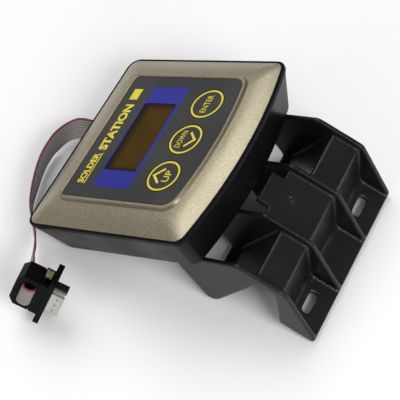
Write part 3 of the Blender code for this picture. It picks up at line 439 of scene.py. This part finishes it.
def plug_shell(finish):
    """A D tube: depth runs up the outside, over a rounded rim and down the inside, and three bell curves
    push each long side in."""
    outer = d_ring(SHELL_W, SHELL_H, SHELL_R)
    inner = d_ring(SHELL_W - SHELL_WALL, SHELL_H - SHELL_WALL, SHELL_R - SHELL_WALL)
    up_side = np.linspace(SHELL_IN, SHELL_OUT - SHELL_WALL / 2, 22)
    bend = np.linspace(0, math.pi, 6)[1:-1]
    z = np.concatenate([up_side, SHELL_OUT - SHELL_WALL / 2 + SHELL_WALL / 2 * np.sin(bend), up_side[::-1]])
    share = np.concatenate([np.zeros(22), (1 - np.cos(bend)) / 2, np.ones(22)])
    flat = outer[None] * (1 - share)[:, None, None] + inner[None] * share[:, None, None]
    points = np.concatenate([flat, np.broadcast_to(z[:, None, None], flat.shape[:2] + (1,))], -1)
    x, y, z = points[..., 0], points[..., 1], points[..., 2]
    long_side = np.clip((np.abs(y) - SHELL_H * 0.75) / (SHELL_H * 0.15), 0, 1)
    for centre in (-DIMPLE_PITCH, 0.0, DIMPLE_PITCH):
        away = ((x - centre) / DIMPLE_LONG) ** 2 + ((z - DIMPLE_AT) / DIMPLE_TALL) ** 2
        points[..., 1] -= np.sign(y) * (DIMPLE_DEEP * np.exp(-away) * long_side)
    faces = sheet_faces(len(points), len(outer), round_rows=True)
    return piece("plug_shell", on_plug(points.reshape(-1, 3)), faces, finish, "tinned_shell", 50,
                 nodes=["connector_shell"])


def worn_metal(name, colour, roughness, dull, scale=60.0, bump=0.00001):
    """Bright metal with soft smudges and hairline handling marks."""
    metal = Finish(name, colour, roughness, 1.0)
    smudge = metal.noise(scale, 5.0, roughness=0.6)
    metal.set(Base_Color=metal.mix(metal.range(smudge, 0.45, 0.75), colour, dull))
    metal.set(Roughness=metal.range(smudge, 0.3, 0.75, roughness - 0.06, roughness + 0.16))
    hair = metal.noise(1.0, 2.0, metal.place(scale=(9000.0, 500.0, 900.0)))
    metal.bump(hair, bump, 0.4)
    return metal


plug_shell(worn_metal("tinned_steel", (0.50, 0.49, 0.455), 0.22, (0.32, 0.31, 0.27)))


def turned(profile, centres, axes, origin, sides=24, knurl=0.0, teeth=0):
    """Surfaces of revolution: a profile of (radius, height) swept round each centre. Knurling swells the
    radius by a sine that runs round it. A profile that ends off the axis is joined back to its start."""
    profile = np.asarray(profile, float)
    angle = np.linspace(0, 2 * math.pi, sides, endpoint=False)
    swell = 1 + knurl * np.sin(angle * teeth)[None] * (profile[:, :1] > profile[:, 0].max() * 0.9)
    r = profile[:, :1] * swell
    ring = np.stack([r * np.cos(angle), r * np.sin(angle), np.repeat(profile[:, 1:], sides, 1)], -1)
    open_end = profile[0, 0] > 1e-6
    faces = sheet_faces(len(profile), sides, round_rows=open_end)
    points = (np.asarray(centres, float)[:, None] + ring.reshape(1, -1, 3)) @ np.asarray(axes).T + origin
    count = ring.size // 3
    every = [[v + k * count for v in f] for k in range(len(centres)) for f in faces]
    return points.reshape(-1, 3), every


def clean(obj):
    """Welds the points that meet on an axis and turns every face outwards."""
    bm = bmesh.new()
    bm.from_mesh(obj.data)
    bmesh.ops.remove_doubles(bm, verts=bm.verts, dist=1e-6)
    bmesh.ops.recalc_face_normals(bm, faces=bm.faces)
    bm.to_mesh(obj.data)
    bm.free()
    return obj


ON_AXIS = 1e-7  # a radius that clean welds to one point
PIN_PITCH, PIN_ROW = 0.00277, 0.00142
gold = worn_metal("gold_flash", (0.78, 0.58, 0.25), 0.22, (0.55, 0.42, 0.20), 300.0)
nose = np.linspace(0, math.pi / 2, 6)
pin = [(ON_AXIS, -0.0009), (0.0005, -0.0009), (0.0005, 0.0042)]
pin += [(0.0005 * math.cos(a), 0.0044 + 0.0008 * math.sin(a)) for a in nose[:-1]] + [(ON_AXIS, 0.0052)]
sockets_at = [((i - 2) * PIN_PITCH, PIN_ROW, 0) for i in range(5)]
sockets_at += [((i - 1.5) * PIN_PITCH, -PIN_ROW, 0) for i in range(4)]
clean(piece("plug_contacts", *turned(pin, sockets_at, PLUG_AXES, PLUG_AT, 16), gold, "contact_gold",
            nodes=[f"contact_pin_{i}" for i in range(1, 10)]))
brass = worn_metal("plated_brass", (0.38, 0.32, 0.16), 0.28, (0.22, 0.19, 0.10), 400.0)
insert = [(0.0011, -0.0061), (0.0017, -0.0061), (0.0019, -0.0059), (0.0020, -0.0058), (0.0020, -0.0047),
          (0.0017, -0.0046), (0.0017, -0.0044), (0.0020, -0.0043), (0.0020, -0.0031), (0.0018, -0.0029), (0.0011, -0.0029)]
for number, x in enumerate((-0.0126, 0.0126), 1):
    clean(piece(f"plug_insert_{number}", *turned(insert, [(x, 0, 0)], PLUG_AXES, PLUG_AT, 72, 0.03, 24), brass,
                "insert_brass", 35, nodes=[f"threaded_insert_{number}"]))

lead_line[::2].tolist() + [lead_line[-1].tolist()]

# ==== Front bezel
# One thin moulding, a shallow dome with a raised bead round the label, sprayed with a champagne silver
# paint. It carries the label, and closes the case. Four screws pull the case up against its bosses.

HEAD_TILT, HEAD_AT = math.radians(27.590142), np.array((0.0, 0.0118, 0.0522146))
HEAD_AXES = np.array(Matrix.Rotation(-HEAD_TILT, 3, "X"))
LABEL_HALF, LABEL_TALL, LABEL_MIDDLE, LABEL_BOW, LABEL_CORNER = 0.0358, 0.03195, 0.01955, 0.0034, 0.0035
BEAD_WIDTH = 0.0021


def on_head(points):
    """From the head's own axes (panel right, panel top, out of the label) to the frame's."""
    return np.asarray(points, float) @ HEAD_AXES.T + HEAD_AT


def head_place(finish):
    """Object coordinates turned back into the head's own axes."""
    return finish.place((HEAD_TILT, 0, 0), tuple(-HEAD_AT @ HEAD_AXES))


def painted_shade_at_bead_foot(finish):
    """1 along the foot of the bead, where shade is painted in darker: distance outside the label's outline, whose
    lower edge is bowed by a parabola, from its inner box less the corner radius."""
    x, y, _ = finish.split(head_place(finish))
    bowed = y + (1 - (x / LABEL_HALF) ** 2) * LABEL_BOW * finish.range(y, 0.010, -0.004)
    out = [(abs(v) - (half - LABEL_CORNER)).math("MAXIMUM", 0.0)
           for v, half in ((x, LABEL_HALF), (bowed - LABEL_MIDDLE, LABEL_TALL))]
    far = (out[0] * out[0] + out[1] * out[1]) ** 0.5 - LABEL_CORNER
    return finish.range(abs(far - BEAD_WIDTH), 0.0007, 0.0002)


def silver_paint():
    """Metallic lacquer: flakes speckle the colour and the surface, and handling leaves soft duller areas."""
    paint = Finish("champagne_silver_paint", (0.34, 0.29, 0.19), 0.36, 0.8, Coat_Weight=0.35, Coat_Roughness=0.28)
    flake = paint.noise(2100.0, 3.0, roughness=0.7)
    cloud = paint.noise(14.0, 4.0, roughness=0.6)
    base = paint.mix(paint.range(flake, 0.3, 0.7), (0.225, 0.193, 0.117), (0.50, 0.455, 0.330))
    base = paint.mix(paint.range(cloud, 0.4, 0.75, 0.0, 0.35), base, (0.34, 0.30, 0.205))
    # Painted shade: the colour darkens along the foot of the bead round the label.
    paint.set(Base_Color=paint.mix(painted_shade_at_bead_foot(paint) * 0.55, base, (0.11, 0.092, 0.055)))
    paint.set(Roughness=paint.range(flake, 0.3, 0.7, 0.36, 0.50) + paint.range(cloud, 0.35, 0.7, -0.02, 0.04))
    paint.set(Metallic=paint.range(flake, 0.35, 0.7, 0.75, 1.0))
    paint.bump(flake, 0.00006, 0.45)
    return paint


rounded_copy("bezel_moulding", "front_bezel", silver_paint(), 0.00012, 40.0)

# ==== Label and its print
# A polycarbonate film, printed from behind in grey with a blue field round the window, has a fine matt
# face. The title strip is screen printed in yellow, and the key rings and words are printed on the keys.


def inside_rounded(finish, x, y, middle, half_w, half_h, radius):
    """1 inside a rounded rectangle: distance from its inner box, less the corner radius."""
    out = [(abs(v - c) - (half - radius)).math("MAXIMUM", 0.0)
           for v, c, half in ((x, middle[0], half_w), (y, middle[1], half_h))]
    far = (out[0] * out[0] + out[1] * out[1]) ** 0.5
    return finish.range(far - radius, 0.00005, -0.00005)


def film_texture(film):
    """The matt face: a fine even grain, and faint wide changes of gloss where hands have rubbed it."""
    rub = film.noise(22.0, 4.0, roughness=0.6)
    film.set(Roughness=film.range(rub, 0.3, 0.7, 0.38, 0.52))
    film.bump(film.noise(3200.0, 2.0), 0.00002, 0.35)
    return film.range(rub, 0.35, 0.7)


YELLOW = (0.80, 0.66, 0.03)
film = Finish("grey_label_film", (0.04, 0.042, 0.042), 0.45, Specular_IOR_Level=0.3)
rub = film_texture(film)
x, y, _ = film.split(head_place(film))
grey = film.mix(rub, (0.031, 0.033, 0.032), (0.044, 0.046, 0.045))
blue = film.mix(rub, (0.016, 0.020, 0.26), (0.024, 0.028, 0.32))
field = inside_rounded(film, x, y, (0.0, 0.0258), 0.0297, 0.0107, 0.0016)
film.set(Base_Color=film.mix(field, grey, blue))
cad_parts["keypad_label"].material_slots[0].material = film.material

ink = Finish("yellow_screen_ink", YELLOW, 0.5)
ink.set(Base_Color=ink.mix(ink.range(ink.noise(900.0, 3.0), 0.35, 0.7), (0.74, 0.60, 0.02), (0.86, 0.73, 0.05)))
ink.bump(ink.noise(2600.0, 2.0), 0.000015, 0.4)
INK_LOW, INK_TOP = -0.00002, 0.00005


def word_on(word, x0, x1, y0, y1, weight=0.0):
    """A word set in type, as a closed relief stretched to fill a box on the panel."""
    letters = bpy.data.curves.new(word, "FONT")
    letters.body, letters.extrude, letters.offset, letters.resolution_u = word, 0.5, weight, 4
    setting = bpy.data.objects.new(word, letters)
    bpy.context.scene.collection.objects.link(setting)
    made = bpy.data.meshes.new_from_object(setting.evaluated_get(bpy.context.evaluated_depsgraph_get()))
    bpy.data.objects.remove(setting)
    points = np.empty(len(made.vertices) * 3)
    made.vertices.foreach_get("co", points)
    points = points.reshape(-1, 3)
    low, size = points.min(axis=0), np.ptp(points, axis=0)
    box_low, box_size = np.array((x0, y0, INK_LOW)), np.array((x1 - x0, y1 - y0, INK_TOP - INK_LOW))
    faces = [tuple(p.vertices) for p in made.polygons]
    bpy.data.meshes.remove(made)
    return box_low + (points - low) / size * box_size, faces


def stroke_on(path, width):
    """A printed line: its path offset by half its width to both sides, mitred, as a low closed prism."""
    path = np.asarray(path, float)
    step = np.diff(path, axis=0)
    step /= np.linalg.norm(step, axis=1, keepdims=True)
    side = np.column_stack([-step[:, 1], step[:, 0]])
    before, after = np.vstack([side[:1], side]), np.vstack([side, side[-1:]])
    mitre = (before + after) / (1 + (before * after).sum(1, keepdims=True)) * width / 2
    ring = [(path + mitre, INK_LOW), (path - mitre, INK_LOW), (path - mitre, INK_TOP), (path + mitre, INK_TOP)]
    points = np.stack([np.column_stack([flat, np.full(len(path), z)]) for flat, z in ring], 1)
    ends = [[3, 2, 1, 0], [(len(path) - 1) * 4 + k for k in range(4)]]
    return points.reshape(-1, 3), sheet_faces(len(path), 4) + ends


def printed(name, shapes, body="head"):
    """One print of several words and lines, on the label or riding on a key."""
    points = np.vstack([p for p, _ in shapes])
    starts = np.concatenate([[0], np.cumsum([len(p) for p, _ in shapes])])
    faces = [[v + start for v in f] for (_, every), start in zip(shapes, starts) for f in every]
    return clean(piece(name, on_head(points), faces, ink, "printed_film", 30, body))


printed("title_print", [
    word_on("SOLDER", -0.0284, -0.0112, 0.0434, 0.0471, 0.035),
    word_on("STATION", -0.0092, 0.0184, 0.0419, 0.0471, 0.045),
    stroke_on([(-0.0286, 0.0424), (-0.0110, 0.0424)], 0.0005),
    stroke_on([(0.0214, 0.04505), (0.0279, 0.04505)], 0.0049),
])

# ==== Keys
# Three round domes of the same film, each with a stem that presses a switch on the board. A yellow ring
# runs round each face. UP has its arrow above the word, and DOWN has it below.

KEY_PITCH, RING_OUT, RING_IN = 0.02065, 0.0081, 0.0072
key_film = Finish("grey_key_film", (0.04, 0.042, 0.042), 0.45, Specular_IOR_Level=0.3)
rub = film_texture(key_film)
x, y, z = key_film.split(head_place(key_film))
x = x - (x / KEY_PITCH).math("ROUND") * KEY_PITCH
far = (x * x + y * y) ** 0.5
line = key_film.range(abs(far - (RING_OUT + RING_IN) / 2), (RING_OUT - RING_IN) / 2 + 0.00005,
                      (RING_OUT - RING_IN) / 2 - 0.00005) * (z > -0.0001)
grey = key_film.mix(rub, (0.031, 0.033, 0.032), (0.044, 0.046, 0.045))
key_film.set(Base_Color=key_film.mix(line, grey, YELLOW))

KEY_PRINTS = {
    "up": [stroke_on([(-0.0247, 0.0009), (-0.0208, 0.0053), (-0.0168, 0.0009)], 0.0011),
           word_on("UP", -0.0238, -0.0177, -0.0038, -0.0002, 0.012)],
    "down": [stroke_on([(-0.0039, -0.0010), (0.0001, -0.0050), (0.0040, -0.0010)], 0.0011),
             word_on("DOWN", -0.0047, 0.0047, 0.0010, 0.0040)],
    "enter": [word_on("ENTER", 0.0156, 0.0257, -0.0015, 0.0017)],
}
for key, shapes in KEY_PRINTS.items():
    rounded_copy(f"key_{key}_cap", f"key_{key}", key_film, 0.00012, body=f"key_{key}")
    printed(f"key_{key}_print", shapes, f"key_{key}")

# ==== Window
# An amber tinted acrylic lens, polished on both faces, stands in a hole in the bezel with its flange
# behind, and hides the display cell until it is lit.

amber = Finish("amber_acrylic", (0.05, 0.028, 0.004), 0.14, Specular_IOR_Level=0.12)
x, y, _ = amber.split(head_place(amber))
cloud = amber.noise(70.0, 3.0, roughness=0.6)
tint = amber.mix(amber.range(cloud, 0.35, 0.65), (0.056, 0.034, 0.003), (0.074, 0.036, 0.005))
# Painted shadow: the lens is darkened in bands along its +y edge and its +x end, and more lightly at its -x end,
# where the frame's shade falls on it.
painted_frame_shadow = amber.range(y, 0.0296, 0.0350).math("MAXIMUM", amber.range(x, 0.0150, 0.0194))
painted_frame_shadow = painted_frame_shadow.math("MAXIMUM", amber.range(x, -0.0168, -0.0192))
amber.set(Base_Color=amber.mix(painted_frame_shadow * 0.85, tint, (0.014, 0.009, 0.003)))
amber.set(Roughness=amber.range(amber.noise(160.0, 4.0), 0.3, 0.7, 0.12, 0.20))
rounded_copy("window_lens", "display_window", amber, 0.00015)

# ==== Display module
# A glass cell on a white light guide, held to the board by a folded frame of plated steel whose rim
# overlaps the cell. The cell shows two rows of character blocks when it is seen without the window.

cell = Finish("display_cell_glass", (0.03, 0.032, 0.028), 0.05, Coat_Weight=0.6, Coat_Roughness=0.02)
x, y, _ = cell.split(head_place(cell))
column = abs(((x + 0.0184) / 0.0023).math("FRACT") - 0.5)
row = abs(((y - 0.0193) / 0.0072).math("FRACT") - 0.5)
block = cell.range(column, 0.36, 0.34) * cell.range(row, 0.34, 0.32)
block = block * inside_rounded(cell, x, y, (0.0, 0.0265), 0.0184, 0.0072, 0.0005)
cell.set(Base_Color=cell.mix(block, (0.050, 0.056, 0.040), (0.022, 0.026, 0.022)))
cell.set(Roughness=cell.range(cell.noise(120.0, 4.0), 0.3, 0.7, 0.03, 0.09))
diffuser = Finish("white_light_guide", (0.78, 0.77, 0.72), 0.5)
diffuser.set(Base_Color=diffuser.mix(diffuser.noise(150.0, 4.0), (0.70, 0.69, 0.64), (0.84, 0.83, 0.79)))
diffuser.bump(diffuser.noise(1500.0, 2.0), 0.00002, 0.4)
plated = worn_metal("plated_steel_sheet", (0.60, 0.60, 0.58), 0.30, (0.42, 0.42, 0.40), 90.0)
rounded_copy("display_cell", "display_glass", cell, 0.00015)
rounded_copy("light_guide", "display_backlight", diffuser, 0.0002)
rounded_copy("display_bezel_sheet", "display_frame", plated, 0.00018)

# ==== Circuit board
# Glass-fibre laminate under green solder mask, with copper tracks that show through it as paler lines,
# tinned pads where parts are soldered, and bare cut edges. Four self-tapping screws hold it to the case.

BOARD_FRONT, BOARD_BACK = -0.0106, -0.0122
mask = Finish("green_solder_mask", (0.02, 0.12, 0.05), 0.32, Coat_Weight=0.4, Coat_Roughness=0.12)
x, y, z = mask.split(head_place(mask))
lanes_x = mask.range(abs((x / 0.00127).math("FRACT") - 0.5), 0.16, 0.10)
lanes_y = mask.range(abs((y / 0.00127).math("FRACT") - 0.5), 0.16, 0.10)
cells = mask.add("ShaderNodeTexVoronoi", {"feature": "F1", "distance": "CHEBYCHEV"},
                 {"Vector": mask.add("ShaderNodeTexCoord", out="Object"), "Scale": 75.0}, out="Color")
pick = mask.split(cells)
tracks = lanes_x * (pick[0] > 0.55) + lanes_y * (pick[1] > 0.6)
pad = mask.range(((((x / 0.00254).math("FRACT") - 0.5) ** 2 + ((y / 0.00254).math("FRACT") - 0.5) ** 2) ** 0.5),
                 0.20, 0.17) * (pick[2] > 0.72)
green = mask.mix(tracks.math("MINIMUM", 1.0), (0.012, 0.075, 0.032), (0.035, 0.150, 0.062))
green = mask.mix(pad, green, (0.55, 0.54, 0.50))
cut = (abs(z - (BOARD_FRONT + BOARD_BACK) / 2) < 0.0007) * (abs(x) > 0.03495)
mask.set(Base_Color=mask.mix(cut, green, (0.42, 0.36, 0.20)))
mask.set(Metallic=pad * 0.8)
mask.bump(tracks + pad, 0.00003, 0.4)
rounded_copy("board_laminate_sheet", "main_board", mask, 0.0)

# ==== Parts on the board's back
# A moulded processor with gull-wing leads down its four sides, a crystal in a drawn can, an electrolytic
# capacitor in a crimped aluminium can, and a round buzzer with a sound hole.

epoxy = moulded_plastic("black_epoxy", (0.016, 0.016, 0.017), 0.5, 2400.0, 0.00002, 0.012)
tin = worn_metal("bright_tin", (0.70, 0.70, 0.68), 0.28, (0.50, 0.50, 0.48), 200.0)
rounded_copy("processor_body", "processor_chip", epoxy, 0.00015)


def gull_wings(middle, half, count, pitch):
    """Leads down four sides of a body: one bent profile, out, down and flat on the board, given a width
    and repeated at the pitch on each side by quarter turns."""
    run = np.array([(0, -0.0011), (0.0003, -0.0011), (0.0006, -0.0004), (0.0008, -0.00012), (0.0014, -0.00012)])
    thick = np.array([(0, 0.0001), (0, 0.0001), (0.0001, 0.00006), (0.00004, 0.0001), (0, 0.0001)])
    bent = np.concatenate([run - thick, (run + thick)[::-1]])
    at = (np.arange(count) - (count - 1) / 2) * pitch
    wide = np.array([-0.00018, 0.00018])
    leads = np.zeros((count, 2, 10, 3))
    leads[..., 0] = half + 0.0001 + bent[None, None, :, 0]
    leads[..., 1] = at[:, None, None] + wide[None, :, None]
    leads[..., 2] = BOARD_BACK + bent[None, None, :, 1]
    turns = [np.array(Matrix.Rotation(k * math.pi / 2, 3, "Z")) for k in range(4)]
    points = np.concatenate([leads.reshape(-1, 3) @ turn.T for turn in turns]) + (*middle, 0)
    one = sheet_faces(2, 10) + [list(range(10))[::-1], list(range(10, 20))]
    return points, [[v + k * 20 for v in f] for k in range(4 * count) for f in one]


wings, wing_faces = gull_wings((-0.009, 0.007), 0.006, 11, 0.0008)
clean(piece("processor_leads", on_head(wings), wing_faces, tin, "plated_steel", 30))
rounded_copy("crystal_can", "timing_crystal", plated, 0.0011, segments=4)

can_metal = worn_metal("drawn_aluminium", (0.72, 0.72, 0.74), 0.30, (0.55, 0.55, 0.57), 150.0)
x, y, z = can_metal.split(head_place(can_metal))
sector = (x > 0.0128) * (z < -0.0203)
can_metal.set(Base_Color=can_metal.mix(sector, (0.70, 0.70, 0.72), (0.02, 0.02, 0.022)))
can = [(ON_AXIS, -0.0205), (0.0026, -0.0205), (0.0030, -0.0203), (0.0032, -0.0199), (0.0032, -0.0151),
       (0.0030, -0.0148), (0.0030, -0.0145), (0.0032, -0.0142), (0.0032, -0.0127), (0.0031, -0.0125), (ON_AXIS, -0.0125)]
clean(piece("capacitor_can", *turned(can, [(0.011, -0.006, 0)], HEAD_AXES, HEAD_AT, 40), can_metal,
            "aluminium_can", 35, nodes=["smoothing_capacitor"]))
rim = np.linspace(0, math.pi / 2, 5)
sounder = [(ON_AXIS, -0.0181), (0.0011, -0.0181), (0.0012, -0.0193), (0.0014, -0.0195)]
sounder += [(0.0056 + 0.0004 * math.sin(a), -0.0191 - 0.0004 * math.cos(a)) for a in rim]
sounder += [(0.0060, -0.0140), (0.0058, -0.0138), (0.0058, -0.0125), (ON_AXIS, -0.0125)]
clean(piece("buzzer_shell", *turned(sounder, [(0.014, 0.012, 0)], HEAD_AXES, HEAD_AT, 48), epoxy,
            "component_plastic", 35, nodes=["buzzer"]))

# ==== Key switches
# Tact switches: a square moulded body soldered under each key, a plated cover over it, and a round
# plunger on a dome spring that lifts the key again.

for key in KEY_PRINTS:
    rounded_copy(f"switch_{key}_base", f"switch_body_{key}", epoxy, 0.00025)
    rounded_copy(f"switch_{key}_button", f"switch_plunger_{key}", epoxy, 0.0002,
                 body=f"key_{key}")

# ==== Lead header and socket
# A shrouded two-row header, soldered to the board, takes the ribbon's socket, which is crimped on the
# nine conductors and pushed home over the header's pins.

rounded_copy("header_shroud", "ribbon_header", epoxy, 0.0003)
rounded_copy("socket_block", "ribbon_socket", epoxy, 0.0003)

# ==== Screws
# Pan-head self-tapping screws in zinc-plated steel, with a cross recess: four hold the board, four the
# bezel to the case, and four the bracket to the case.

zinc = worn_metal("zinc_plated_steel", (0.58, 0.58, 0.57), 0.32, (0.36, 0.36, 0.35), 500.0, 0.00002)
for kind in ("board", "case", "bracket"):
    for number in range(1, 5):
        rounded_copy(f"{kind}_screw_steel_{number}", f"{kind}_screw_{number}", zinc, 0.00018)

# ==== Rear case
# A deep tray moulded in black plastic, its walls drawn in towards the back, with a bead and a groove
# round its rim where the bezel seats. The finish is a fine satin.

case_black = moulded_plastic("case_black_plastic", (0.0035, 0.0035, 0.004), 0.32, 2200.0, 0.00006,
                             wear=0.003, shine=0.09)
rounded_copy("case_moulding", "rear_case", case_black, 0.0004, 35.0, 3)

# ==== Bracket
# One black moulding: a plate screwed to the case, sheets folded down to a slotted flange, and four ribs
# between them. Its spark-eroded surface is matt and slightly warm.

bracket_black = moulded_plastic("bracket_black_plastic", (0.0070, 0.0070, 0.0053), 0.30, 1700.0, 0.00022,
                                wear=0.005, shine=0.32)
bracket = rounded_copy("bracket_moulding", "mounting_bracket", bracket_black, 0.0)

# Its edges are rounded all together: an even skin of small faces is relaxed, thinned and relaxed again.
bracket.modifiers.clear()
skin = bracket.modifiers.new("even_skin", "REMESH")
skin.mode, skin.voxel_size, skin.adaptivity, skin.use_smooth_shade = "VOXEL", 0.0004, 0.0, True
soft = bracket.modifiers.new("moulded_edges", "SMOOTH")
soft.factor, soft.iterations = 0.5, 36
fewer = bracket.modifiers.new("fewer_faces", "DECIMATE")
fewer.ratio = 0.38
last = bracket.modifiers.new("last_smoothing", "SMOOTH")
last.factor, last.iterations = 0.5, 4

# The gate where the plastic was let in left a ring and a small nub on the middle sheet: a profile of
# (radius, height) turned about the sheet's own normal.
SHEET_SLOPE, GATE_Y, GATE_Z = math.radians(46.3), -0.0372, -0.0372
gate = [(ON_AXIS, 0.00008), (0.0004, 0.00004), (0.0007, -0.0002), (0.0011, -0.0003), (0.0014, -0.00005)]
gate += [(0.0017, 0.00016), (0.0020, 0.00010), (0.0022, -0.0002), (0.0018, -0.0007), (ON_AXIS, -0.0007)]
gate_axes = HEAD_AXES @ np.array(Matrix.Rotation(SHEET_SLOPE, 3, "X"))
clean(piece("bracket_gate_mark", *turned(gate, [(0, 0, 0)], gate_axes, on_head([0, GATE_Y, GATE_Z]), 32),
            bracket_black, "bracket_plastic", 60))
